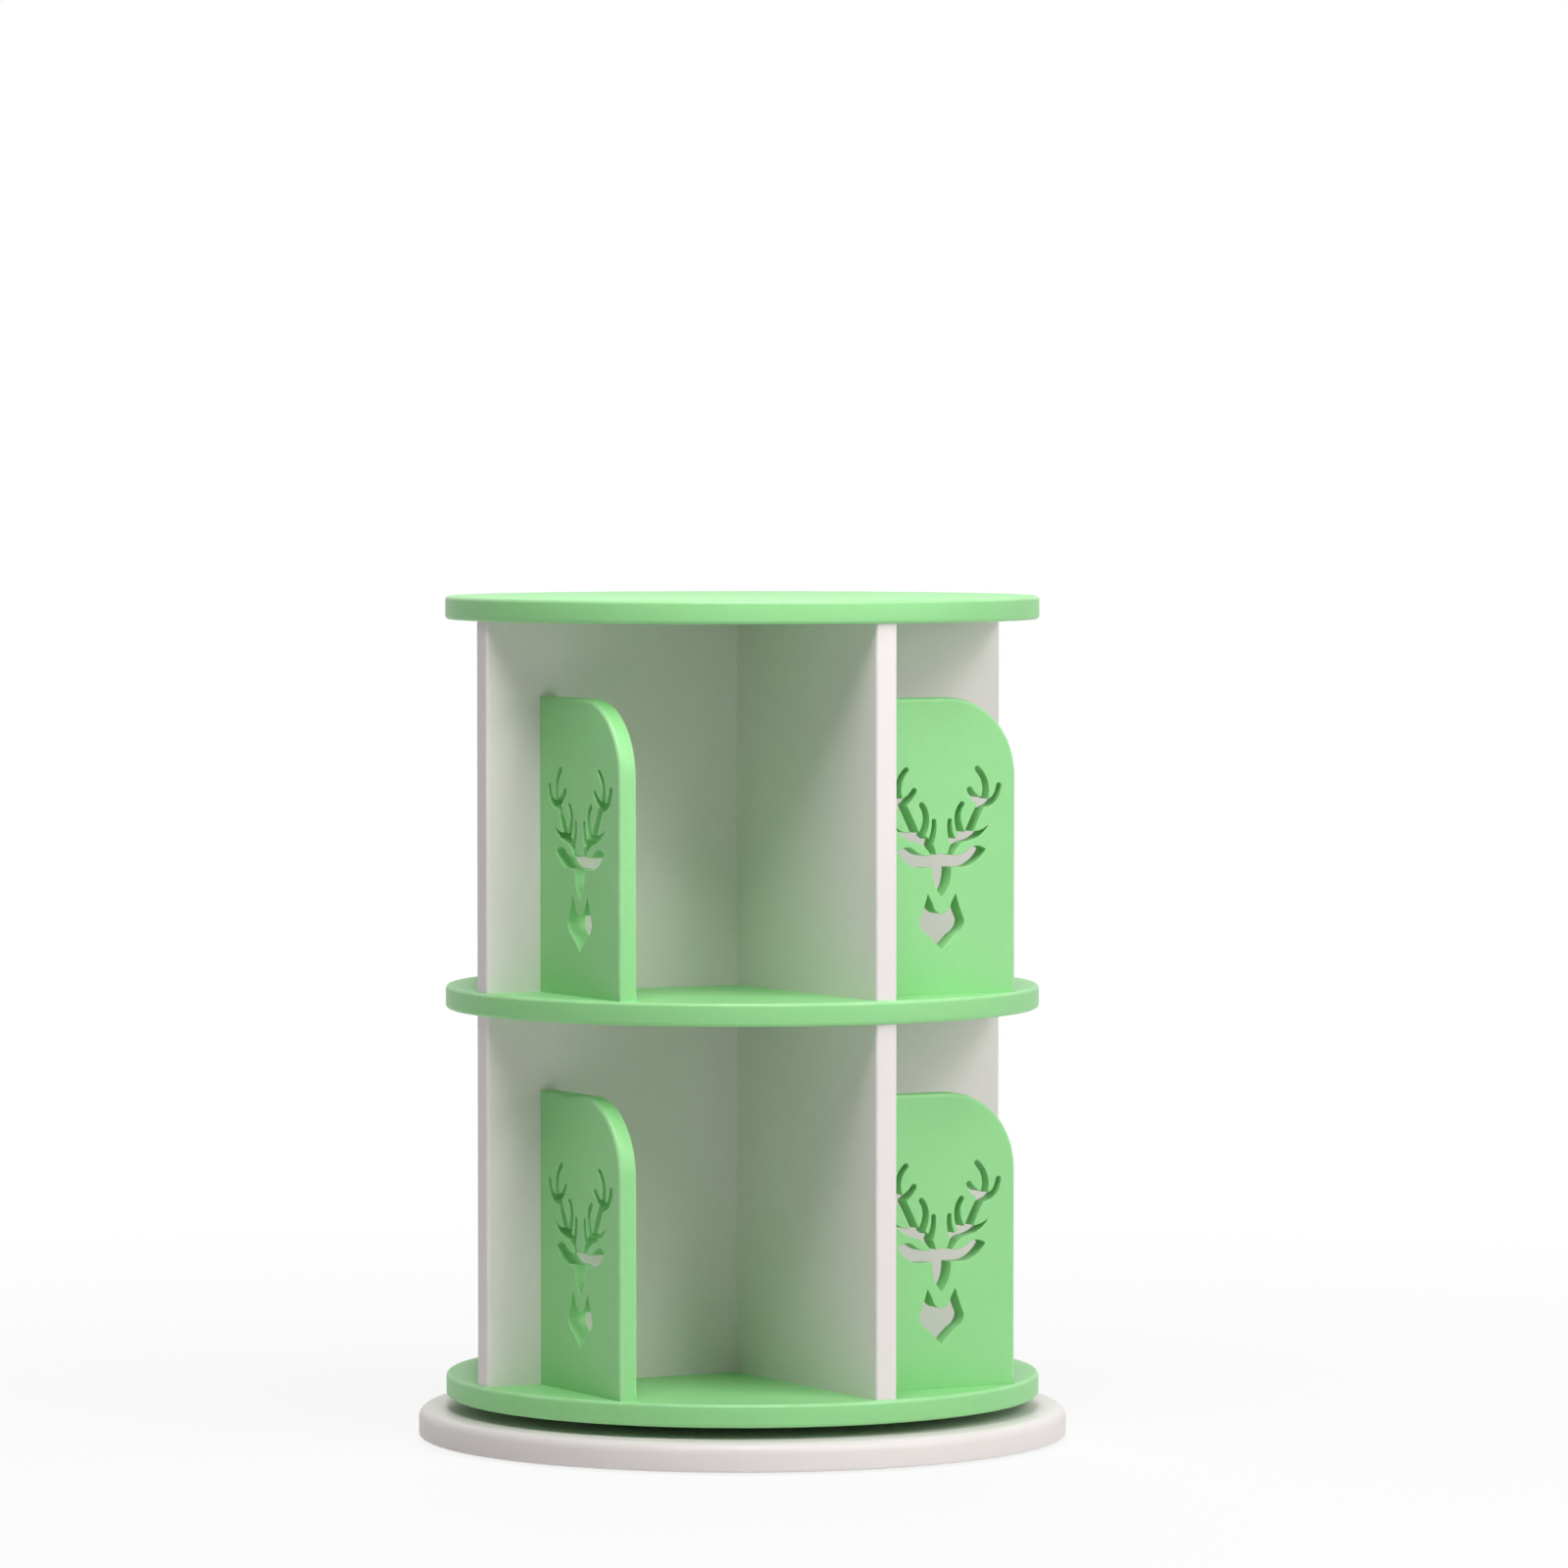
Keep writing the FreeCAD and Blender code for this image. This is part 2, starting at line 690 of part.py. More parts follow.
# Bearing balls
# A ball is a block whose twelve edges are bevelled until all its faces touch the ball's round.
# The bevels lie flat against the V races, and the light mesh leaves room for a full ring.
balls = new_body("bearing_balls", z=base_top)
ball_radius = dim.ball_diameter / 2
ball_sketch = new_sketch(balls, "block", across=race_radius, out=ball_level - ball_radius)
draw_box(ball_sketch, -ball_radius, -ball_radius, ball_radius, ball_radius)
pad(ball_sketch, dim.ball_diameter)
dress_edges(balls, "Chamfer", ball_radius * (2 - math.sqrt(2)), lambda edge: True)
repeat_round([balls.Tip], dim.ball_count, whole_body=True)

# Check and export

doc.recompute()
os.makedirs("parts", exist_ok=True)
for item in doc.Objects:
    if "Invalid" in item.State or "Error" in item.State:
        raise RuntimeError(f"{item.Name} failed: {item.State}")
bodies = [item for item in doc.Objects if item.TypeId == "PartDesign::Body"]
for body in bodies:
    if body.Shape.isNull() or not body.Shape.isValid():
        raise RuntimeError(f"{body.Label} has no valid shape")
    body.Shape.exportStep(f"parts/{body.Label}.step")
    box = body.Shape.BoundBox
    levels = f"z {box.ZMin:.2f} to {box.ZMax:.2f}"
    print(body.Label, len(body.Shape.Solids), "solids", round(body.Shape.Volume / 1000, 2), "cm3", levels)
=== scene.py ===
# %% [markdown]
# # A revolving bookcase
# Three round shelves carry two tiers of crossed boards, and the whole case turns on a wider base.
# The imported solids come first. They are a fixed frame: each finished piece is built over the solid
# that it stands for, and rides on the same moving body. So nothing is ever fitted by eye.

# %% Load the frame
import json
import math

import bpy
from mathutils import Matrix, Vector
from mathutils.geometry import delaunay_2d_cdt


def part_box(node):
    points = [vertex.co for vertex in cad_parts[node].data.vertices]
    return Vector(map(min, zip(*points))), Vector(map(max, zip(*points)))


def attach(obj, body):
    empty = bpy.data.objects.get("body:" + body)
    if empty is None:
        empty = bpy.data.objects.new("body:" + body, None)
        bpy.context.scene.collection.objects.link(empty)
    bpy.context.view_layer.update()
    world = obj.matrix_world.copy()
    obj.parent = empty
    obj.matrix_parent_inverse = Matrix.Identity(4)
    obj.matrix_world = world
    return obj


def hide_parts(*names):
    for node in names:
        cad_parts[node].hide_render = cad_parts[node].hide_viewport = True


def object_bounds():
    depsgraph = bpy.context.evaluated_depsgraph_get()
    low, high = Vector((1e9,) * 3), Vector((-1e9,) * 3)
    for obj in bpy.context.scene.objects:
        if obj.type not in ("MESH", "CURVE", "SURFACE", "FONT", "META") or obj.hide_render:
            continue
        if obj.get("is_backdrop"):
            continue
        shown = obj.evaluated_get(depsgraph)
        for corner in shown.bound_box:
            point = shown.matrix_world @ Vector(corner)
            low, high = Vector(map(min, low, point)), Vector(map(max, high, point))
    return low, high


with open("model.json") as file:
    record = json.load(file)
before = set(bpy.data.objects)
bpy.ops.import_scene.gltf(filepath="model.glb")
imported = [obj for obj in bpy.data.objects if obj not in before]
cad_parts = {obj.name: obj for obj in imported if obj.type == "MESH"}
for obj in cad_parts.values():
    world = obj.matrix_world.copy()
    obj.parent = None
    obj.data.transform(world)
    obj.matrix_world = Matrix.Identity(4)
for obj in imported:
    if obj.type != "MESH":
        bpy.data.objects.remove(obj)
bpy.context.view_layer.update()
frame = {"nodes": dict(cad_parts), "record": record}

MM = 0.001


def rounded(place, digits=3):
    """A place with few digits, for printing."""
    return tuple(round(value, digits) for value in place)


# %% [markdown]
# ## Camera
# The bookcase was photographed from far off with a long lens, a little above its middle. A long lens
# hardly shrinks what is further away, which is why the three shelves look alike in width. The camera
# stands 6.2 m from the turning axis, and looks between the boards' two directions.

# %% Place the camera
camera_distance = 6.2
camera_height = 0.757
aim_aside, aim_height = 0.0325, 0.510
away = Vector((-0.480, -0.877, 0))
sideways = Vector((0.877, -0.480, 0))
aim = sideways * aim_aside + Vector((0, 0, aim_height))

camera_data = bpy.data.cameras.new("camera")
camera_data.lens = 182.5
camera_data.sensor_width = 36
camera = bpy.data.objects.new("camera", camera_data)
camera.location = away * camera_distance + Vector((0, 0, camera_height))
camera.rotation_mode = "QUATERNION"
camera.rotation_quaternion = (aim - camera.location).to_track_quat("-Z", "Y")
bpy.context.collection.objects.link(camera)
bpy.context.scene.camera = camera
print("camera at", rounded(camera.location, 2))

# %% [markdown]
# ## Shader arithmetic
# Materials are written as Python expressions. A Wire holds one output socket: adding or multiplying
# Wires places a Math node, and `node` places any other node. This keeps a finish readable as a
# formula, where a page of node links would hide what it does.

# %% The Wire class


class Wire:
    """One output socket of a node tree, on which Python's arithmetic places Math nodes."""

    def __init__(self, tree, socket=None):
        self.tree = tree
        self.socket = socket

    def node(self, kind, settings=None, values=None, output=0):
        """Places a node: first its settings, then the values or links of its sockets."""
        placed = self.tree.nodes.new(kind)
        for name, setting in (settings or {}).items():
            setattr(placed, name, setting)
        for name, value in (values or {}).items():
            if isinstance(value, Wire):
                self.tree.links.new(value.socket, placed.inputs[name])
            else:
                placed.inputs[name].default_value = value
        return Wire(self.tree, placed.outputs[output]) if placed.outputs else None

    def output(self, name):
        """Another output of the same node."""
        return Wire(self.tree, self.socket.node.outputs[name])

    def calculate(self, operation, *values):
        return self.node("ShaderNodeMath", {"operation": operation}, dict(enumerate(values)))

    def __add__(self, other):
        return self.calculate("ADD", self, other)

    def __radd__(self, other):
        return self.calculate("ADD", other, self)

    def __sub__(self, other):
        return self.calculate("SUBTRACT", self, other)

    def __rsub__(self, other):
        return self.calculate("SUBTRACT", other, self)

    def __mul__(self, other):
        return self.calculate("MULTIPLY", self, other)

    def __rmul__(self, other):
        return self.calculate("MULTIPLY", other, self)

    def __pow__(self, other):
        return self.calculate("POWER", self, other)


# %% [markdown]
# A Math node would turn a colour grey, so colours are mixed by a Mix node. It has sockets of the
# same name for numbers, for vectors and for colours, so the ones for colours go by their number.
# Two more helpers stretch a value over 0 to 1, and read how far a point lies from the Z axis.

# %% Colours, ranges and distances

mix_first, mix_second, mix_result = 6, 7, 2


def mixed(factor, first, second):
    """A colour between two others, each a Wire or its red, green and blue."""
    colours = [(*colour, 1) if isinstance(colour, tuple) else colour for colour in (first, second)]
    values = {"Factor": factor, mix_first: colours[0], mix_second: colours[1]}
    return factor.node("ShaderNodeMix", {"data_type": "RGBA"}, values, output=mix_result)


def between(value, low, high):
    """Stretches the part of a value from low to high over 0 to 1, and cuts off the rest."""
    return value.node("ShaderNodeMapRange", None, {"Value": value, "From Min": low, "From Max": high})


def from_axis(point):
    """How far a point lies from the Z axis, and how high it lies."""
    across = point.node("ShaderNodeSeparateXYZ", None, {"Vector": point}, output="X")
    along = across.output("Y")
    return (across * across + along * along) ** 0.5, across.output("Z")


# %% [markdown]
# Every finish starts the same way: a new material, the point on the object, and at the end one
# Principled shader. Object coordinates are in metres here, because no piece is scaled, so a
# pattern's scale is simply its number of repeats in a metre.

# %% Helpers for a finish


def start_finish(name):
    """A new empty material, and the Wire of the point being shaded."""
    material = bpy.data.materials.new(name)
    material.use_nodes = True
    material.node_tree.nodes.clear()
    point = Wire(material.node_tree).node("ShaderNodeTexCoord", output="Object")
    return material, point


def noise(point, repeats, detail=2, roughness=0.5):
    """A cloudy value round 0.5, with so many repeats in a metre."""
    values = {"Vector": point, "Scale": repeats, "Detail": detail, "Roughness": roughness}
    return point.node("ShaderNodeTexNoise", None, values)


def finish_surface(material, point, **values):
    """Ends a material with one Principled shader. Underscores in a name stand for spaces."""
    named = {key.replace("_", " "): value for key, value in values.items()}
    shader = point.node("ShaderNodeBsdfPrincipled", None, named)
    point.node("ShaderNodeOutputMaterial", None, {"Surface": shader})
    print("finish", material.name, "has", len(material.node_tree.nodes), "nodes")
    return material


def raised(point, height, distance, strength):
    """The normal of a surface with that height, from 0 to 1, over a real distance in metres."""
    values = {"Height": height, "Distance": distance, "Strength": strength}
    return point.node("ShaderNodeBump", None, values)


# %% [markdown]
# ## Painted boards
# The boards are fibreboard under satin paint. Up close such paint isn't even: the roller leaves a
# fine orange peel about a millimetre wide, the shine drifts a little from place to place, and the
# tone drifts over a hand's width. Along each rounded edge a highlight is painted into the colour,
# patchy in strength, and the roughness drops a little there. A mesh attribute says how strong that
# painted highlight is at each point. Each effect is weak, and together they keep a large flat board
# from looking like plastic. The finish is written once and given two colours.

# %% Painted board finish

drift_repeats, mottle_repeats, patch_repeats = 5.0, 160.0, 42.0
peel_repeats, dust_repeats, gloss_repeats = 750.0, 2600.0, 34.0
peel_height = 0.12 * MM


def painted_board(name, colour, shade, highlight_tone, roughness):
    """Satin paint that drifts from its colour towards a shade, with a highlight painted along its edges."""
    material, point = start_finish(name)
    drift = between(noise(point, drift_repeats, 3), 0.3, 0.7)
    mottle = between(noise(point, mottle_repeats, 2), 0.35, 0.65)
    tone = mixed(drift * 0.75 + mottle * 0.25, colour, shade)
    # How strong the painted edge highlight is at this point, read from the mesh attribute.
    edge = point.node("ShaderNodeAttribute", {"attribute_name": "painted_edge_highlight"}, output="Fac")
    patches = between(noise(point, patch_repeats, 3, 0.6), 0.32, 0.62)
    painted_highlight_mask = edge * (patches * 0.7 + 0.3)
    peel = noise(point, peel_repeats, 2, 0.55)
    dust = noise(point, dust_repeats, 1)
    height = peel * 0.8 + dust * 0.2
    gloss = noise(point, gloss_repeats, 3) * 0.12 + (roughness - 0.06) - painted_highlight_mask * 0.08
    return finish_surface(
        material,
        point,
        # The colour is painted paler where the edge highlight falls.
        Base_Color=mixed(painted_highlight_mask, tone, highlight_tone),
        Roughness=gloss,
        Normal=raised(point, height, peel_height, 0.55),
        Specular_IOR_Level=0.38,
    )


green_paint = painted_board(
    "green_paint",
    colour=(0.324, 0.742, 0.303),
    shade=(0.292, 0.696, 0.275),
    # the paler colour of the painted highlight along the edges
    highlight_tone=(0.430, 0.820, 0.405),
    roughness=0.42,
)
white_paint = painted_board(
    "white_paint",
    colour=(0.885, 0.818, 0.812),
    shade=(0.852, 0.786, 0.782),
    # the paler colour of the painted highlight along the edges
    highlight_tone=(0.920, 0.880, 0.872),
    roughness=0.40,
)

# %% [markdown]
# ## Turned metal
# The turntable's plates and its rivet are turned on a lathe, so their fine lines run in rings. An
# image wrapped round each plate would show them too. Noise that reads only the distance from the
# axis and the height gives exactly such rings, without a seam.

# %% Turned metal finish

ring_repeats, level_repeats, smear_repeats = 2400.0, 300.0, 60.0
smear_tone = 0.86


def turned_metal(name, colour, roughness):
    """Metal with fine rings round the Z axis, and faint darker smears across them."""
    material, point = start_finish(name)
    radius, level = from_axis(point)
    ring_values = {"X": radius * ring_repeats, "Y": level * level_repeats}
    rings = noise(point.node("ShaderNodeCombineXYZ", None, ring_values), 1.0, 2)
    smears = noise(point, smear_repeats, 3)
    return finish_surface(
        material,
        point,
        Base_Color=mixed(smears, colour, tuple(smear_tone * part for part in colour)),
        Metallic=1.0,
        Roughness=rings * 0.18 + smears * 0.08 + roughness,
        Normal=raised(point, rings, 0.05 * MM, 0.5),
    )


plate_metal = turned_metal("plate_metal", (0.62, 0.63, 0.64), 0.26)
rivet_steel = turned_metal("rivet_steel", (0.52, 0.53, 0.54), 0.30)

# %% [markdown]
# ## Steel, nylon, rubber and beech
# The balls are polished, the screws are plated, the cage is nylon and the pads are foam rubber. They
# are small and mostly hidden, so one plain finish with a fine grain serves them all, and only its
# values differ. The hidden tenons are bare beech, whose grain is noise stretched along Z.

# %% The other finishes


def plain_finish(name, colour, shade, repeats, roughness, bump, metallic=0.0):
    """One tone with a fine grain, which also moves the roughness and the surface a little."""
    material, point = start_finish(name)
    grain = noise(point, repeats, 3)
    return finish_surface(
        material,
        point,
        Base_Color=mixed(grain, colour, shade),
        Metallic=metallic,
        Roughness=grain * 0.1 + roughness,
        Normal=raised(point, grain, bump, 0.6),
    )


def beech_finish(name, colour, shade, repeats_along):
    """Planed wood. Its grain runs along Z, where it has far fewer repeats than across."""
    material, point = start_finish(name)
    stretch = {"Vector": point, "Scale": (1.0, 1.0, repeats_along)}
    stretched = point.node("ShaderNodeMapping", None, stretch)
    grain = noise(stretched, 520.0, 4, 0.6)
    flecks = noise(stretched, 1800.0, 2)
    return finish_surface(
        material,
        point,
        Base_Color=mixed(grain, colour, shade),
        Roughness=flecks * 0.15 + 0.52,
        Normal=raised(point, flecks, 0.1 * MM, 0.5),
    )


ball_steel = plain_finish(
    "ball_steel",
    colour=(0.72, 0.72, 0.74),
    shade=(0.64, 0.64, 0.66),
    repeats=900.0,
    roughness=0.06,
    bump=0.01 * MM,
    metallic=1.0,
)
screw_steel = plain_finish(
    "screw_steel",
    colour=(0.60, 0.61, 0.63),
    shade=(0.48, 0.49, 0.52),
    repeats=700.0,
    roughness=0.24,
    bump=0.03 * MM,
    metallic=1.0,
)
cage_nylon = plain_finish(
    "cage_nylon",
    colour=(0.80, 0.79, 0.73),
    shade=(0.74, 0.73, 0.66),
    repeats=500.0,
    roughness=0.42,
    bump=0.04 * MM,
)
foam_rubber = plain_finish(
    "foam_rubber",
    colour=(0.030, 0.030, 0.031),
    shade=(0.018, 0.018, 0.019),
    repeats=1500.0,
    roughness=0.78,
    bump=0.2 * MM,
)
beech = beech_finish("beech", (0.66, 0.46, 0.28), (0.50, 0.32, 0.17), repeats_along=0.06)

# %% [markdown]
# ## From a list of corners to a finished piece
# Each piece below is a list of vertices and faces. `make_piece` turns the list into a mesh, marks
# which faces are shaded smooth, notes how strong the painted edge highlight is at each vertex, gives
# the piece its finish and lets it ride on the body of the solids that it stands for.

# %% Making a piece

body_of = {}
for body, members in frame["record"]["behaviour"]["bodies"].items():
    for member in members:
        body_of[member] = body
smooth_angle = math.radians(40)


def smooth_mesh(name, corners, faces):
    """A mesh that is shaded smooth, except along edges sharper than the smooth angle."""
    mesh = bpy.data.meshes.new(name)
    mesh.from_pydata(corners, [], faces)
    mesh.validate()
    mesh.shade_smooth()
    mesh.set_sharp_from_angle(angle=smooth_angle)
    return mesh


def finish_piece(name, mesh, material, stands_for):
    """An object that replaces solids of one body and rides on that body."""
    piece = bpy.data.objects.new(name, mesh)
    bpy.context.collection.objects.link(piece)
    mesh.materials.clear()
    mesh.materials.append(material)
    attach(piece, body_of[stands_for[0]])
    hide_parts(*stands_for)
    print(name, "has", len(mesh.polygons), "faces")
    return piece


def make_piece(name, corners, faces, painted_highlight, material, stands_for, slot):
    """A piece from its corners and faces. The painted highlight is one value from 0 to 1 for each corner."""
    mesh = smooth_mesh(name, corners, faces)
    # The strength of the painted edge highlight, stored for the paint's colour to read.
    mesh.attributes.new("painted_edge_highlight", "FLOAT", "POINT").data.foreach_set("value", painted_highlight)
    return finish_piece(name, mesh, material, stands_for)


# %% [markdown]
# ## Turned discs
# A shelf is a round board whose rims were rounded with a router, and the base is a thicker one with
# a much rounder upper rim. Both are turned shapes: half a profile, spun about the axis. Spinning the
# profile here by a formula gives evenly spaced edges and closed poles, which a cylinder with a
# bevel would also give, but with a rounding that is the same above and below.

# %% Turning a profile


def ring_points(radius, level, segments):
    """Points evenly spaced on a level circle round the Z axis."""
    angles = [2 * math.pi * segment / segments for segment in range(segments)]
    return [(radius * math.cos(angle), radius * math.sin(angle), level) for angle in angles]


def ring_bands(ring_count, segments):
    """The faces that join each ring of points to the next one."""
    faces = []
    for ring in range(ring_count - 1):
        for segment in range(segments):
            following = (segment + 1) % segments
            low, high = ring * segments, (ring + 1) * segments
            faces.append((low + segment, low + following, high + following, high + segment))
    return faces


def turned(profile, segments):
    """Spins a half profile about Z. The profile runs outwards below and back to the axis above."""
    rings = profile[1:-1]
    corners = [point for radius, level in rings for point in ring_points(radius, level, segments)]
    faces = ring_bands(len(rings), segments)
    last = (len(rings) - 1) * segments
    low_pole, high_pole = len(corners), len(corners) + 1
    corners += [(0, 0, profile[0][1]), (0, 0, profile[-1][1])]
    for segment in range(segments):
        following = (segment + 1) % segments
        faces.append((low_pole, following, segment))
        faces.append((high_pole, last + segment, last + following))
    return corners, faces


# %% [markdown]
# The rims' rounds are quarter circles. Beside each one lies a narrow flat ring, so that the smooth
# shading bends over the round alone and the large faces stay flat. A highlight is painted along each
# round, strongest halfway round it, and most on the shelves' upper rims.

# %% The four discs

disc_segments = 192
low_steps, high_steps = 5, 8
flat_ring = 12 * MM
shelf_round = 3.0 * MM
base_low_round, base_high_round = 2.0 * MM, 8.0 * MM
# How strong the painted highlight is on the rims' rounds
low_rim_highlight, shelf_rim_highlight, base_rim_highlight = 0.4, 0.9, 0.35


def quarter_round(centre, radius, start, steps):
    """Points on a quarter circle, from a starting angle in degrees and on by 90 degrees."""
    points = []
    for step in range(steps + 1):
        angle = math.radians(start + 90 * step / steps)
        points.append((centre[0] + radius * math.cos(angle), centre[1] + radius * math.sin(angle)))
    return points


def highlight_on_round(steps, most=1.0):
    """The painted highlight at the points of a quarter round: none where it starts and ends, most halfway.
    """
    return [most * math.sin(math.pi * step / steps) for step in range(steps + 1)]


def rounded_disc(node, low_round, high_round, high_rim_highlight):
    """The corners, faces and painted edge highlight of a disc that fills the node's box, both rims rounded.
    """
    low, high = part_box(node)
    radius = high.x
    profile = [(0, low.z), (radius - low_round - flat_ring, low.z)]
    profile += quarter_round((radius - low_round, low.z + low_round), low_round, -90, low_steps)
    profile += quarter_round((radius - high_round, high.z - high_round), high_round, 0, high_steps)
    profile += [(radius - high_round - flat_ring, high.z), (0, high.z)]
    corners, faces = turned(profile, disc_segments)
    ring_highlight = [0.0] + highlight_on_round(low_steps, low_rim_highlight) + highlight_on_round(high_steps, high_rim_highlight) + [0.0]
    painted_highlight = [value for value in ring_highlight for _ in range(disc_segments)] + [0.0, 0.0]
    return corners, faces, painted_highlight


for shelf in ("bottom_shelf", "middle_shelf", "top_shelf"):
    disc = rounded_disc(shelf, shelf_round, shelf_round, shelf_rim_highlight)
    make_piece(f"{shelf}_board", *disc, green_paint, [shelf], "green_board")
disc = rounded_disc("base_disc", base_low_round, base_high_round, base_rim_highlight)
make_piece("base_board", *disc, white_paint, ["base_disc"], "white_board")

# %% [markdown]
# ## Divider boards
# Each tier is crossed by one long board, and two short boards butt against its middle. Only their
# outer upright edges are free, and those are softly rounded. The board's plan is therefore drawn
# from above, with small quarter circles at its free corners, and raised to the tier's height.

# %% Dividers

divider_round, divider_steps = 2.5 * MM, 6


def raised_plan(plan, low, high):
    """A closed plan, drawn anticlockwise from above, raised between two levels."""
    count = len(plan)
    corners = [(x, y, low) for x, y in plan] + [(x, y, high) for x, y in plan]
    faces = [tuple(reversed(range(count))), tuple(range(count, 2 * count))]
    for index in range(count):
        following = (index + 1) % count
        faces.append((index, following, count + following, count + index))
    return corners, faces


def divider_plan(low, high, free_sides):
    """The board's rectangle with its free corners rounded, and the painted highlight at each point of it."""
    places = [
        ("+x", "-y", high.x, low.y, -90),
        ("+x", "+y", high.x, high.y, 0),
        ("-x", "+y", low.x, high.y, 90),
        ("-x", "-y", low.x, low.y, 180),
    ]
    plan, painted_highlight = [], []
    for side_x, side_y, x, y, start in places:
        if side_x in free_sides or side_y in free_sides:
            inward_x = -divider_round if side_x == "+x" else divider_round
            inward_y = -divider_round if side_y == "+y" else divider_round
            plan += quarter_round((x + inward_x, y + inward_y), divider_round, start, divider_steps)
            # A highlight is painted along each rounded corner.
            painted_highlight += highlight_on_round(divider_steps)
        else:
            plan.append((x, y))
            painted_highlight.append(0.0)
    return plan, painted_highlight


divider_kinds = {"long": ("+x", "-x"), "back": ("+y",), "front": ("-y",)}
for tier in ("lower", "upper"):
    for kind, free_sides in divider_kinds.items():
        node = f"{tier}_{kind}_divider"
        low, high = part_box(node)
        plan, painted_highlight = divider_plan(low, high, free_sides)
        corners, faces = raised_plan(plan, low.z, high.z)
        make_piece(f"{node}_board", corners, faces, painted_highlight * 2, white_paint, [node], "white_board")

# %% [markdown]
# ## The deer
# Each bookend has a deer head sawn through it. On the real board a fine saw follows a drawing, so
# its lines are smooth: tines that curve and taper, and ears and cheeks made of arcs. The drawing is
# held here in millimetres from the chin, for the half to the right of the centre line, and only in
# the few points that the shape needs. A tine is three points from its root to its tip, and its width
# at both. The other outlines go on from a start by lines and by arcs, each through a middle point.

# %% Drawing the deer

tines = {
    "beam": ([(22.5, 86), (28.5, 99), (36, 113)], 7.5, 6.5),
    "hook": ([(34.5, 111.5), (45.5, 114), (50.5, 125)], 6.5, 4.6),
    "cross_tine": ([(38.5, 111), (30, 115.5), (24.5, 122)], 6.6, 4.8),
    "upper_tine": ([(36.5, 112), (38.5, 126), (31.5, 138)], 6.5, 4.6),
    "inner_tine": ([(18.5, 86), (14, 100), (17.8, 111)], 6.5, 4.6),
    "inmost_tine": ([(10, 82), (7.4, 90), (7, 98.5)], 5.5, 3.8),
}
brow_outline = [
    ("start", (5, 72.5)),
    ("arc", (11.5, 85), (23.5, 90.5)),
    ("arc", (33, 90.6), (41.5, 95)),
    ("arc", (33, 86), (22, 82.5)),
    ("arc", (15, 78.8), (9.5, 72)),
]
face_half = [
    ("start", (0, 73.5)),
    ("line", (8.5, 72.5)),
    ("arc", (17, 72.7), (24.5, 77)),
    ("arc", (31.5, 79), (39, 76)),
    ("arc", (32, 67.8), (21.5, 63)),
    ("line", (8, 63)),
    ("arc", (6.6, 51), (0, 40)),
]
neck_half = [
    ("start", (0, 27.5)),
    ("arc", (5, 29.5), (8, 35)),
    ("line", (12.3, 43)),
    ("arc", (15.6, 32.5), (19.8, 22.5)),
    ("arc", (17.6, 15.8), (12, 11.5)),
    ("line", (0, 0)),
]
print("the drawing has", len(tines), "tines and three outlines")

# %% [markdown]
# Curves fill in the rest. An arc is found from its three points, as the circle that runs through
# them. A tine follows a quadratic curve through its three points, with a point set off to either
# side by half its width and a round cap at both ends. Curve objects could draw the same lines, but
# points from a formula can be joined and cut before there is any mesh.

# %% Curves through the drawing's points

arc_steps, tine_steps = 7, 9
cap_turns = [30 * step for step in range(1, 6)]


def rotated(vector, degrees):
    """A vector in the plane, turned anticlockwise."""
    angle = math.radians(degrees)
    across = vector.x * math.cos(angle) - vector.y * math.sin(angle)
    upwards = vector.x * math.sin(angle) + vector.y * math.cos(angle)
    return Vector((across, upwards))


def arc_points(start, middle, end):
    """Points after the start on the circle through three points."""
    start, middle, end = Vector(start), Vector(middle), Vector(end)
    first, second = middle - start, end - start
    twice_area = 2 * (first.x * second.y - first.y * second.x)
    across = (second.y * first.length_squared - first.y * second.length_squared) / twice_area
    upwards = (first.x * second.length_squared - second.x * first.length_squared) / twice_area
    centre = start + Vector((across, upwards))
    spoke = start - centre
    to_middle = spoke.angle_signed(middle - centre, 0)
    sweep = spoke.angle_signed(end - centre, 0)
    if to_middle * sweep < 0:
        sweep += math.copysign(2 * math.pi, to_middle)
    turns = [-math.degrees(sweep) * step / arc_steps for step in range(1, arc_steps + 1)]
    return [tuple(centre + rotated(spoke, turn)) for turn in turns]


def drawn_outline(drawing):
    """The points of an outline given as a start, lines and arcs."""
    points = [drawing[0][1]]
    for kind, *places in drawing[1:]:
        points += arc_points(points[-1], *places) if kind == "arc" else places
    return points


def round_cap(at, across, half, first_turn):
    """The points of a half circle at the end of a tine, between its two sides."""
    return [at + rotated(across, first_turn + turn) * half for turn in cap_turns]


def tine_outline(path, root_width, tip_width):
    """A curved tine that tapers from root to tip, with both ends round."""
    start, middle, end = (Vector(point) for point in path)
    control = middle * 2 - (start + end) / 2
    rows = []
    for step in range(tine_steps + 1):
        share = step / tine_steps
        at = start * (1 - share) ** 2 + control * 2 * share * (1 - share) + end * share**2
        along = ((control - start) * (1 - share) + (end - control) * share).normalized()
        across = Vector((along.y, -along.x))
        rows.append((at, across, (root_width + (tip_width - root_width) * share) / 2))
    right = [at + across * half for at, across, half in rows]
    left = [at - across * half for at, across, half in rows]
    tip_cap = round_cap(*rows[-1], first_turn=0)
    root_cap = round_cap(*rows[0], first_turn=-180)
    return [tuple(point) for point in right + tip_cap + left[::-1] + root_cap]


# %% [markdown]
# The face and the neck cross the centre line, so their half outlines are mirrored into whole ones.
# The tines and the brow stand beside it, so they are simply drawn twice.

# %% Both halves of the deer

on_line = 1e-6


def whole_from_half(half):
    """A whole outline from the points of its right half, whose two ends lie on the centre line."""
    return half + [(-x, y) for x, y in half[::-1] if abs(x) > on_line]


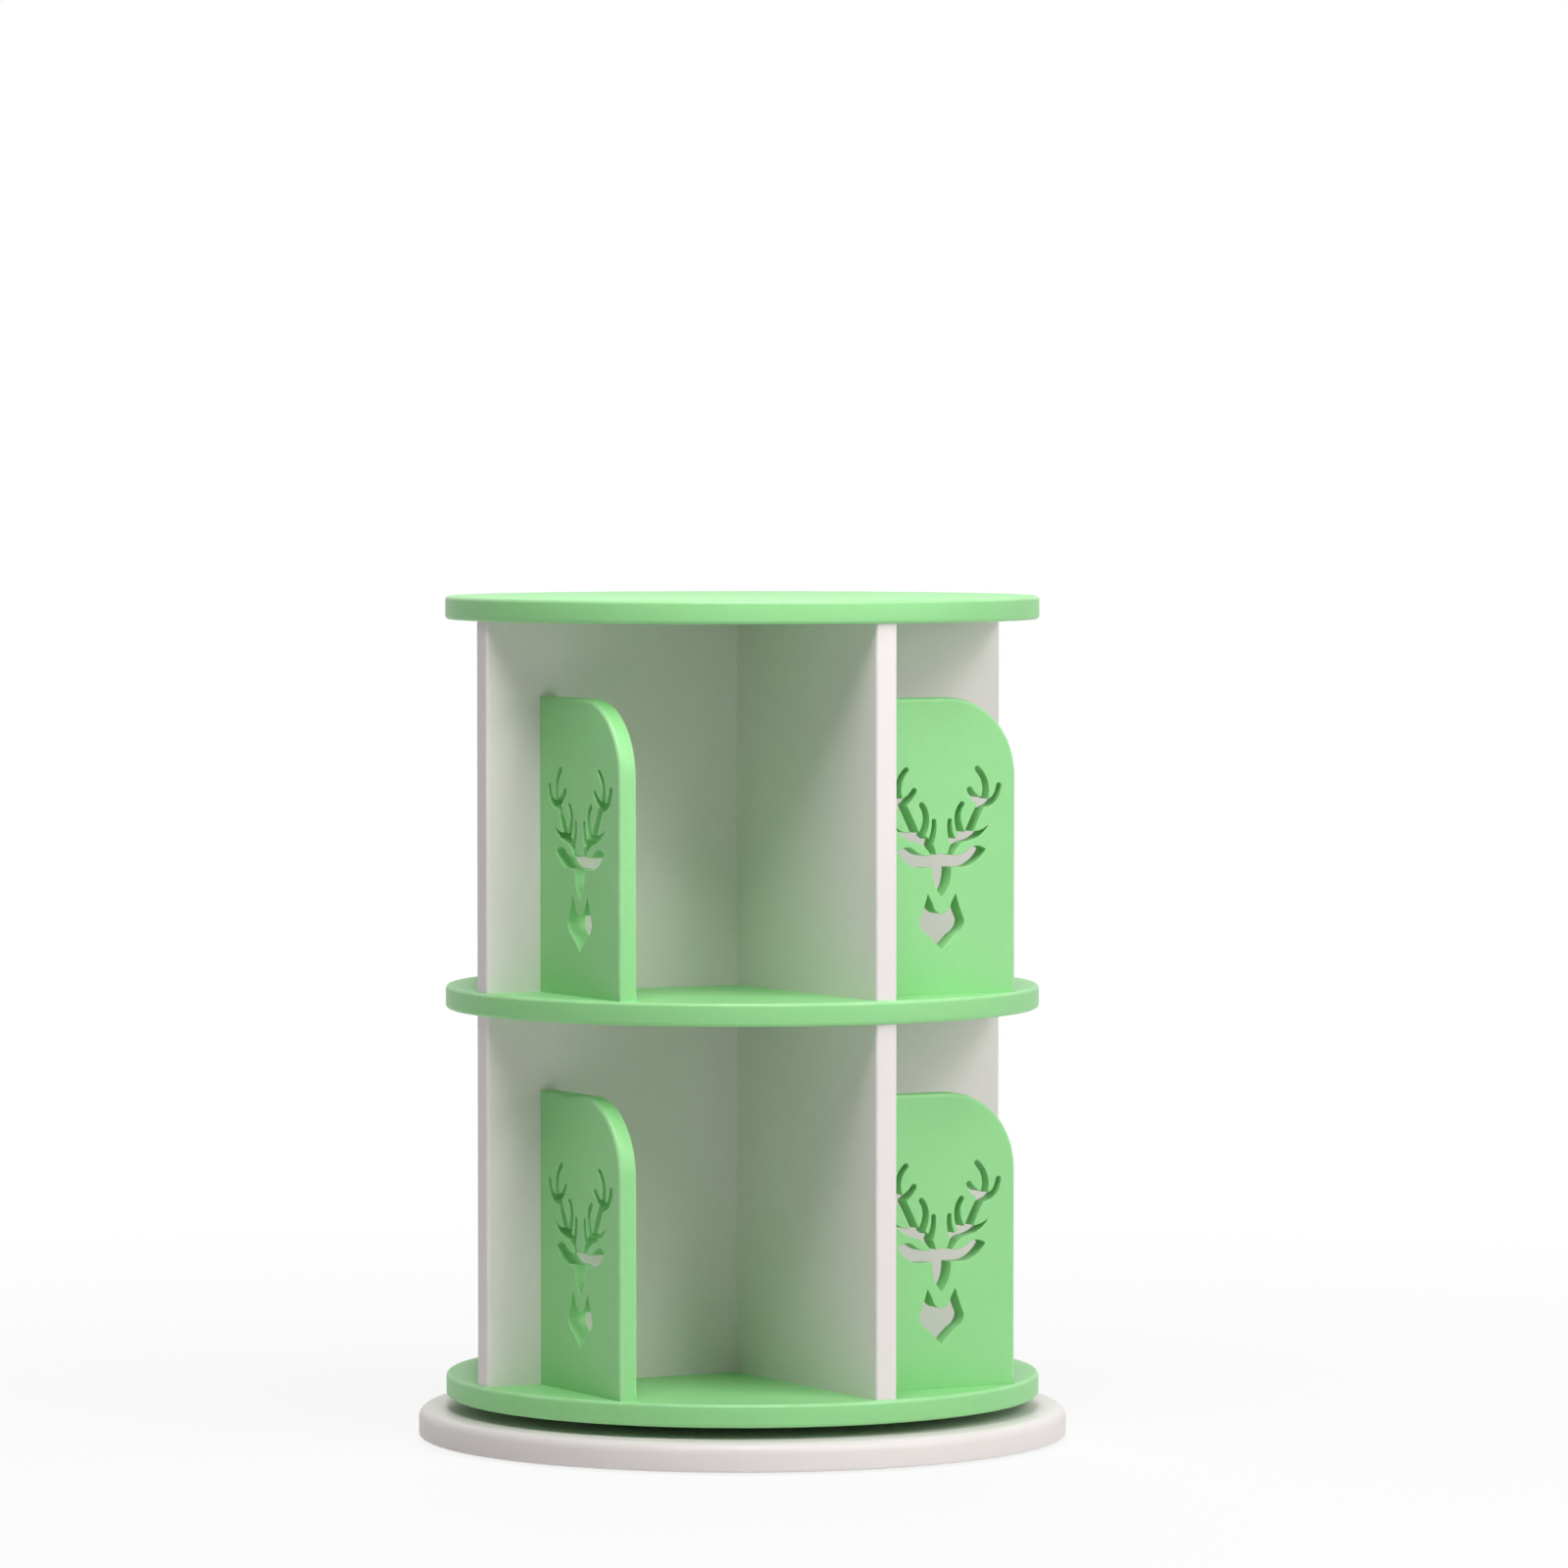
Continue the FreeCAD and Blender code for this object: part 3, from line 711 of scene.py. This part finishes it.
right_shapes = [tine_outline(*tine) for tine in tines.values()] + [drawn_outline(brow_outline)]
left_shapes = [[(-x, y) for x, y in shape] for shape in right_shapes]
middle_shapes = [whole_from_half(drawn_outline(half)) for half in (face_half, neck_half)]
deer_shapes = right_shapes + left_shapes + middle_shapes
print("the deer is drawn with", len(deer_shapes), "overlapping shapes")

# %% [markdown]
# The tines overlap where they grow from each other, and a hole has to be one clean outline. A
# constrained triangulation sorts that out: it cuts the board's face into triangles along every line
# and says which shapes each triangle lies in. Triangles in no shape are wood, and the edges where
# wood ends are the outlines of the holes.

# %% From overlapping shapes to clean holes

same_place = 1e-4


def signed_area(loop):
    """The area of an outline, which is negative where it runs clockwise."""
    following = loop[1:] + loop[:1]
    return sum(a[0] * b[1] - a[1] * b[0] for a, b in zip(loop, following)) / 2


def anticlockwise(loop):
    return loop if signed_area(loop) > 0 else loop[::-1]


def cut_along(loops, tolerance):
    """Everything that the triangulation along all outlines gives, and the triangles of the wood.

    The first outline is the board's own, so wood is what lies inside that one alone.
    """
    points, outlines = [], []
    for loop in loops:
        outlines.append(list(range(len(points), len(points) + len(loop))))
        points += [Vector(point) for point in loop]
    flat = delaunay_2d_cdt(points, [], outlines, 1, tolerance)
    wood = [face for face, inside in zip(flat[2], flat[5]) if set(inside) == {0}]
    return flat, wood


def wood_edges(wood):
    """The closed outlines of the wood, as lists of point numbers with the wood on their left."""
    directed = {(a, b) for face in wood for a, b in zip(face, face[1:] + face[:1])}
    following = {}
    for a, b in directed:
        if (b, a) not in directed:
            following.setdefault(a, []).append(b)
    loops = []
    while following:
        start = min(following)
        loop, at = [], start
        while not loop or at != start:
            loop.append(at)
            choices = following[at]
            step = choices.pop()
            if not choices:
                del following[at]
            at = step
        loops.append(loop)
    return loops


def thinned(loop, spacing):
    """An outline without points that crowd the one before."""
    kept = []
    for point in loop:
        if not kept or (Vector(point) - Vector(kept[-1])).length > spacing:
            kept.append(point)
    while (Vector(kept[0]) - Vector(kept[-1])).length < spacing:
        kept.pop()
    return kept


# %% [markdown]
# ## Bookends
# The bookend is a 15 mm board with one large rounded corner, and the deer stands in the middle of
# its length. Next to two of its square corners the outline has extra points. Between those, the
# slight easing of the edges that butt against other boards grows into that of the free edges.

# %% The board and its holes

low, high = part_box("lower_bookend_1")
board_length = (high.x - low.x) / MM
board_thickness = (high.y - low.y) / MM
board_height = (high.z - low.z) / MM
corner_radius, corner_steps = 60, 24
turn_in = 6
chin_level = 34
least_spacing, least_hole = 0.45, 2

board_outline = [(0, 0), (board_length - turn_in, 0), (board_length, 0), (board_length, turn_in)]
corner_centre = (board_length - corner_radius, board_height - corner_radius)
board_outline += quarter_round(corner_centre, corner_radius, 0, corner_steps)
board_outline += [(turn_in, board_height), (0, board_height), (0, board_height - turn_in)]
deer_on_board = [[(x + board_length / 2, y + chin_level) for x, y in shape] for shape in deer_shapes]

flat, wood = cut_along([anticlockwise(loop) for loop in [board_outline] + deer_on_board], same_place)
outlines = [[tuple(flat[0][i]) for i in loop] for loop in wood_edges(wood)]
outlines.sort(key=lambda loop: -abs(signed_area(loop)))
holes = [thinned(loop, least_spacing) for loop in outlines[1:] if abs(signed_area(loop)) > least_hole]
loops = [anticlockwise(loop) for loop in [outlines[0]] + holes]
print("the board has", len(holes), "holes after joining the tines")

# %% [markdown]
# A router has eased the free edges by about three millimetres, and sandpaper has eased the deer's by
# half a millimetre. A Bevel modifier would trip over the tight corners between the tines. So each
# point of an outline knows its own round, and the step into the wood that moves its edges by it.

# %% How far each edge is eased

free_edge_round, butted_edge_round, sawn_edge_round = 3.0, 0.25, 0.5
# How strong the painted highlight is along each kind of edge
highlight_of_round = {free_edge_round: 1.0, sawn_edge_round: 0.6, butted_edge_round: 0.0}
least_overlap = 0.5


def edge_round(point):
    """How far the edge is eased at a point of the board's outline."""
    return butted_edge_round if min(point) < on_line else free_edge_round


def inward(loop, rounds, wood_on_left):
    """For each point of an outline, the step into the wood that moves both its edges by its round."""
    side = 1 if wood_on_left else -1
    steps = []
    for index, point in enumerate(loop):
        before = (Vector(point) - Vector(loop[index - 1])).normalized()
        after = (Vector(loop[(index + 1) % len(loop)]) - Vector(point)).normalized()
        left_before, left_after = Vector((-before.y, before.x)), Vector((-after.y, after.x))
        middle = left_before + left_after
        if middle.length < on_line:
            middle = left_after
        middle.normalize()
        stretch = 1 / max(middle.dot(left_after), least_overlap)
        steps.append(middle * stretch * rounds[index] * side)
    return steps


edge_points, edge_rounds, edge_steps, outline_numbers = [], [], [], []
for loop in loops:
    is_outer = loop is loops[0]
    loop_rounds = [edge_round(point) if is_outer else sawn_edge_round for point in loop]
    outline_numbers.append(list(range(len(edge_points), len(edge_points) + len(loop))))
    edge_points += loop
    edge_rounds += loop_rounds
    edge_steps += inward(loop, loop_rounds, wood_on_left=is_outer)
print("the outlines have", len(edge_points), "points")

# %% [markdown]
# Now the board is closed. Its two faces are the triangles of the wood, pulled in a little from every
# edge, and a narrow band of quarter rounds runs along each outline from one face to the other. Both
# are made of layers of the same points. Corners are (along, across, up) in millimetres, and the
# board's outer face is at across = 0.

# %% One bookend

band_steps = 4
no_crossing = 1e-5
quarter_angles = [math.radians(90 * step / band_steps) for step in range(band_steps + 1)]
layers = [("front", angle) for angle in quarter_angles]
layers += [("back", angle) for angle in reversed(quarter_angles)]


def wood_triangles():
    """The triangles of the wood, with the numbers of the outlines' points."""
    flat, wood = cut_along(loops, no_crossing)
    if len(flat[0]) != len(edge_points):
        raise RuntimeError("the cleaned outlines still cross each other")
    return [tuple(flat[3][i][0] for i in face) for face in wood]


def rounded_layers():
    """The corners of all layers, and the painted highlight at each."""
    corners, painted_highlight = [], []
    for side, angle in layers:
        for point, size, step in zip(edge_points, edge_rounds, edge_steps):
            # The painted highlight is strongest halfway round each edge.
            painted_highlight.append(highlight_of_round[size] * math.sin(2 * angle))
            pulled = Vector(point) + step * (1 - math.sin(angle))
            depth = size * (1 - math.cos(angle))
            across = depth if side == "front" else board_thickness - depth
            corners.append((pulled.x, across, pulled.y))
    return corners, painted_highlight


def bookend_faces(triangles):
    """The front face, the back face and the bands that join the layers."""
    count = len(edge_points)
    last = (len(layers) - 1) * count
    faces = triangles + [tuple(last + i for i in reversed(face)) for face in triangles]
    for numbers in outline_numbers:
        is_outer = numbers is outline_numbers[0]
        for near in range(0, last, count):
            far = near + count
            for number, following in zip(numbers, numbers[1:] + numbers[:1]):
                quad = (near + number, far + number, far + following, near + following)
                faces.append(quad if is_outer else quad[::-1])
    return faces


triangles = wood_triangles()
board_corners, board_highlight = rounded_layers()
board_faces = bookend_faces(triangles)
flat_count = 2 * len(triangles)
print("one bookend has", len(board_faces), "faces")

# %% [markdown]
# The eight boards stand round the axis like a pinwheel. Quarter turns only swap and negate
# coordinates, so each place is worked out exactly, from the box of its tier's first bookend. The
# two faces of each board are shaded flat, and the bands between them smooth.

# %% Place the bookends

quarter_turns = [(1, 0), (0, 1), (-1, 0), (0, -1)]
for tier in ("lower", "upper"):
    first_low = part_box(f"{tier}_bookend_1")[0]
    for quarter, (cosine, sine) in enumerate(quarter_turns):
        node = f"{tier}_bookend_{quarter + 1}"
        placed = []
        for along, across, upwards in board_corners:
            x = first_low.x + along * MM
            y = first_low.y + across * MM
            placed.append((x * cosine - y * sine, x * sine + y * cosine, first_low.z + upwards * MM))
        board = (placed, board_faces, board_highlight)
        piece = make_piece(f"{node}_board", *board, green_paint, [node], "green_board")
        for polygon in piece.data.polygons[:flat_count]:
            polygon.use_smooth = False

# %% [markdown]
# ## What repeats round the axis
# Balls and screws stand in rings. Geometry Nodes is made for that: one small tree puts a shape on
# every point of a circle, and its named inputs set the count, radius and level. The same tree makes
# both rings. Each copy may also stop at its own angle, by a random turn with a fixed seed.

# %% A ring of copies in Geometry Nodes

ring_inputs = [
    ("Shape", "NodeSocketObject", None),
    ("Count", "NodeSocketInt", 8),
    ("Radius", "NodeSocketFloat", 0.1),
    ("Level", "NodeSocketFloat", 0.0),
    ("Turn", "NodeSocketFloat", 0.0),
    ("Scatter", "NodeSocketFloat", 0.0),
    ("Seed", "NodeSocketInt", 1),
    ("Finish", "NodeSocketMaterial", None),
]
random_low, random_high, random_number = 2, 3, 1


def ring_tree():
    """A tree that copies an object round the Z axis."""
    tree = bpy.data.node_groups.new("ring_of_copies", "GeometryNodeTree")
    for name, kind, value in ring_inputs:
        socket = tree.interface.new_socket(name, in_out="INPUT", socket_type=kind)
        if value is not None:
            socket.default_value = value
    tree.interface.new_socket("Geometry", in_out="OUTPUT", socket_type="NodeSocketGeometry")

    given = Wire(tree).node("NodeGroupInput")
    circle_values = {"Vertices": given.output("Count"), "Radius": given.output("Radius")}
    circle = given.node("GeometryNodeMeshCircle", None, circle_values)
    rise = given.node("ShaderNodeCombineXYZ", None, {"Z": given.output("Level")})
    turn = given.node("ShaderNodeCombineXYZ", None, {"Z": given.output("Turn")})
    placing = {"Geometry": circle, "Translation": rise, "Rotation": turn}
    ring = given.node("GeometryNodeTransform", None, placing)
    shape_values = {"Object": given.output("Shape")}
    shape = given.node("GeometryNodeObjectInfo", None, shape_values, output="Geometry")
    chance = {random_low: 0.0, random_high: given.output("Scatter"), "Seed": given.output("Seed")}
    own_turn = given.node("FunctionNodeRandomValue", {"data_type": "FLOAT"}, chance, random_number)
    spin = given.node("ShaderNodeCombineXYZ", None, {"Z": own_turn})
    copying = {"Points": ring, "Instance": shape, "Rotation": spin}
    copies = given.node("GeometryNodeInstanceOnPoints", None, copying)
    real = given.node("GeometryNodeRealizeInstances", None, {"Geometry": copies})
    finishing = {"Geometry": real, "Material": given.output("Finish")}
    finished = given.node("GeometryNodeSetMaterial", None, finishing)
    given.node("NodeGroupOutput", None, {"Geometry": finished})
    return tree


ring_of_copies = ring_tree()
print("the ring's tree has", len(ring_of_copies.nodes), "nodes")

# %% [markdown]
# The tree runs as a modifier on an empty mesh. Its result is turned into a plain mesh, because an
# export keeps no instances, and both the carrier and the copied shape are removed again.

# %% Running the tree


def loose_shape(name, corners, faces):
    """A shape for the tree to copy. It is removed again when the ring is made."""
    shape = bpy.data.objects.new(name, smooth_mesh(name, corners, faces))
    bpy.context.collection.objects.link(shape)
    return shape


def ring_mesh(name, shape, **inputs):
    """Runs the tree on an empty mesh and returns the plain mesh that it makes."""
    carrier = bpy.data.objects.new(name, bpy.data.meshes.new(name))
    bpy.context.collection.objects.link(carrier)
    modifier = carrier.modifiers.new("ring", "NODES")
    modifier.node_group = ring_of_copies
    given = {"Shape": shape, **inputs}
    for item in ring_of_copies.interface.items_tree:
        if item.in_out == "INPUT" and item.name in given:
            modifier[item.identifier] = given[item.name]
    graph = bpy.context.evaluated_depsgraph_get()
    mesh = bpy.data.meshes.new_from_object(carrier.evaluated_get(graph))
    bpy.data.objects.remove(carrier)
    bpy.data.objects.remove(shape)
    mesh.name = name
    return mesh


# %% [markdown]
# ## Bearing balls
# Sixteen steel balls run between the plates, each in a window of the cage. A ball is a turned half
# circle, so the lathe function above makes it too. The balls ride with the cage, which turns at half
# the speed of the case.

# %% Balls

ball_count, ball_rows, ball_segments = 16, 12, 20
ball_low, ball_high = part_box("bearing_balls")
ball_radius = (ball_high.z - ball_low.z) / 2
ball_circle = ball_high.x - ball_radius
ball_level = (ball_high.z + ball_low.z) / 2
ball_profile = []
for row in range(ball_rows + 1):
    angle = math.radians(180 * row / ball_rows - 90)
    ball_profile.append((ball_radius * math.cos(angle), ball_radius * math.sin(angle)))
ball = loose_shape("ball", *turned(ball_profile, ball_segments))
ring_values = {"Count": ball_count, "Radius": ball_circle, "Level": ball_level}
balls_mesh = ring_mesh("bearing_ball_ring", ball, Finish=ball_steel, **ring_values)
finish_piece("bearing_ball_ring", balls_mesh, ball_steel, ["bearing_balls"])

# %% [markdown]
# ## Turntable screws
# Eight pan-head screws hold the lower plate down on the base, on the rim that stands out beyond the
# upper plate. Low heads are needed, because the bottom shelf passes five millimetres above. The
# head is a low dome whose lowest ring lies inside the plate. Its cross is cut by triangulating the
# flat top along it, sinking what lies inside, and closing the gap with twelve walls.

# %% The head of a screw

head_radius, head_height, head_segments = 3.8 * MM, 2.0 * MM, 24
head_profile = [(1.0, -0.4), (1.0, 0.28), (0.93, 0.62), (0.80, 0.86), (0.66, 1.0)]
cross_half, cross_reach, cross_depth = 0.55 * MM, 2.1 * MM, 1.0 * MM
cross_taper = 0.75
fine_tolerance = 1e-9


def cross_outline():
    """The twelve corners of a cross: three at one arm, repeated by quarter turns."""
    arm = [(cross_reach, -cross_half), (cross_reach, cross_half), (cross_half, cross_half)]
    return [(x * cosine - y * sine, x * sine + y * cosine) for cosine, sine in quarter_turns for x, y in arm]


def screw_head():
    """A low domed head with a cross-shaped recess."""
    corners = []
    for share, level in head_profile:
        corners += ring_points(head_radius * share, head_height * level, head_segments)
    faces = ring_bands(len(head_profile), head_segments)
    faces.append(tuple(reversed(range(head_segments))))
    cross = cross_outline()
    top = len(corners)
    bottom = top + len(cross)
    rim_start = top - head_segments
    rim = [corner[:2] for corner in corners[rim_start:]]
    corners += [(x, y, head_height) for x, y in cross]
    corners += [(x * cross_taper, y * cross_taper, head_height - cross_depth) for x, y in cross]
    flat = cut_along([rim, cross], fine_tolerance)[0]
    for face, inside in zip(flat[2], flat[5]):
        sunk = len(cross) if 1 in inside else 0
        faces.append(tuple(rim_start + flat[3][i][0] + sunk for i in face))
    for index in range(len(cross)):
        following = (index + 1) % len(cross)
        faces.append((bottom + index, bottom + following, top + following, top + index))
    return corners, faces


# %% [markdown]
# The ring of screws starts half a step round, and each screw stopped at its own angle when it was
# driven in. No solid stands for the screws, so they replace nothing and only ride on the base.

# %% Screws

screw_count, screw_seed = 8, 7
lower_plate_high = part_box("turntable_lower_plate")[1]
upper_plate_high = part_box("turntable_upper_plate")[1]
screw_circle = (lower_plate_high.x + upper_plate_high.x) / 2
half_step, quarter_turn = math.radians(180 / screw_count), math.radians(90)
screw = loose_shape("screw", *screw_head())
screws_mesh = ring_mesh(
    "lower_plate_screws",
    screw,
    Count=screw_count,
    Radius=screw_circle,
    Level=lower_plate_high.z,
    Turn=half_step,
    Scatter=quarter_turn,
    Seed=screw_seed,
    Finish=screw_steel,
)
screws = bpy.data.objects.new("lower_plate_screws", screws_mesh)
bpy.context.collection.objects.link(screws)
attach(screws, "base")
print(screw_count, "screws on a circle of", round(2 * screw_circle / MM, 1), "mm")

# %% [markdown]
# ## Finishes for the solids that stay
# The turntable's plates, rivet and cage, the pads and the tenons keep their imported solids, because
# their shapes are already right. Each only needs its finish, and what isn't named here is a tenon.

# %% Dress the remaining solids

kept_finishes = {
    "turntable_lower_plate": plate_metal,
    "turntable_upper_plate": plate_metal,
    "turntable_rivet": rivet_steel,
    "ball_cage": cage_nylon,
    "base_pads": foam_rubber,
}
for node, shown in frame["nodes"].items():
    if shown.hide_render:
        continue
    finish = kept_finishes.get(node, beech)
    shown.data.materials.clear()
    shown.data.materials.append(finish)
    print(node, "is finished in", finish.name)

# %% [markdown]
# ## Floor
# The case stands on a white studio floor. For the camera the floor is mostly its own white, and all
# of it further off, so that it meets the backdrop without a seam and still keeps a faint shadow near
# the base. Shiny paint and metal mirror the same white. A brighter lamp would whiten the floor as
# well, but it would wash out the paint.

# %% Floor

floor_reach = 30.0
floor_white, pure_white = (0.82, 0.82, 0.81, 1), (1, 1, 1, 1)
shadow_near, shadow_far, near_share = 0.4, 1.8, 0.14


def seen_directly(start):
    """1 for rays from the camera, through glass or off a mirroring surface, and 0 for other light."""
    ray = start.node("ShaderNodeLightPath", output="Is Camera Ray")
    through = ray.calculate("MAXIMUM", ray, ray.output("Is Transmission Ray"))
    return ray.calculate("MAXIMUM", through, ray.output("Is Glossy Ray"))


floor_mesh = bpy.data.meshes.new("studio_floor")
sides = [(-1, -1), (1, -1), (1, 1), (-1, 1)]
floor_mesh.from_pydata([(floor_reach * x, floor_reach * y, 0) for x, y in sides], [], [(0, 1, 2, 3)])
floor = bpy.data.objects.new("studio_floor", floor_mesh)
bpy.context.collection.objects.link(floor)
floor_finish, point = start_finish("studio_floor")
seen = seen_directly(point)
fading = {"From Min": shadow_near, "From Max": shadow_far, "To Min": near_share, "To Max": 0.0}
shadow_share = point.node("ShaderNodeMapRange", None, {"Value": from_axis(point)[0], **fading})
matt = point.node("ShaderNodeBsdfDiffuse", None, {"Color": floor_white})
glow = point.node("ShaderNodeEmission", None, {"Color": pure_white, "Strength": 1.0})
surface = point.node("ShaderNodeMixShader", None, {0: seen * (1.0 - shadow_share), 1: matt, 2: glow})
point.node("ShaderNodeOutputMaterial", None, {"Surface": surface})
floor_mesh.materials.append(floor_finish)
floor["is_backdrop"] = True
print("the floor reaches", floor_reach, "m each way")

# %% [markdown]
# ## Light
# The photograph's bright side is the right one and its brightest tier the upper one. So a key lamp
# stands high on the right, with a weaker one low beside it, and a small one hangs closer, in front
# and above, which makes the shelves shade what is below them. A lamp behind lights the far side. It
# would mirror in the top board, which the camera sees almost edge on, so that is turned off for it.
# The room adds a little from everywhere, and shows its full white only where the floor does.

# %% World and lamps

world = bpy.data.worlds.new("studio")
bpy.context.scene.world = world
world.use_nodes = True
world.node_tree.nodes.clear()
start = Wire(world.node_tree)
seen = seen_directly(start)
room_level = 0.18
strength = seen * (1.0 - room_level) + room_level
room = start.node("ShaderNodeBackground", None, {"Color": pure_white, "Strength": strength})
start.node("ShaderNodeOutputWorld", None, {"Surface": room})

case_middle = Vector((0, 0, 0.33))


def lamp(name, place, size, power, mirrored=True):
    """A square soft lamp turned to the middle of the case. Its mirror image can be left out."""
    data = bpy.data.lights.new(name, "AREA")
    data.shape = "SQUARE"
    data.size = size
    data.energy = power
    shown = bpy.data.objects.new(name, data)
    shown.location = place
    shown.rotation_mode = "QUATERNION"
    shown.rotation_quaternion = (case_middle - Vector(place)).to_track_quat("-Z", "Y")
    shown.visible_camera = False
    shown.visible_glossy = mirrored
    bpy.context.collection.objects.link(shown)
    print(name, "gives", power, "W from", place)


lamp("key_lamp", (1.25, -3.2, 2.75), size=1.6, power=56)
lamp("low_lamp", (2.4, -3.3, 1.2), size=1.6, power=19)
lamp("top_lamp", (-0.41, -0.75, 1.8), size=0.8, power=17)
lamp("back_lamp", (1.65, 3.0, 2.75), size=1.6, power=62, mirrored=False)

# %% [markdown]
# ## Colour and the shown box
# The Standard view shows a paint's colour as it is written. Then the box of everything that is shown
# is printed.

# %% Finish

bpy.context.scene.view_settings.view_transform = "Standard"
low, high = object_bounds()
print("shown from", rounded(low, 4), "to", rounded(high, 4))
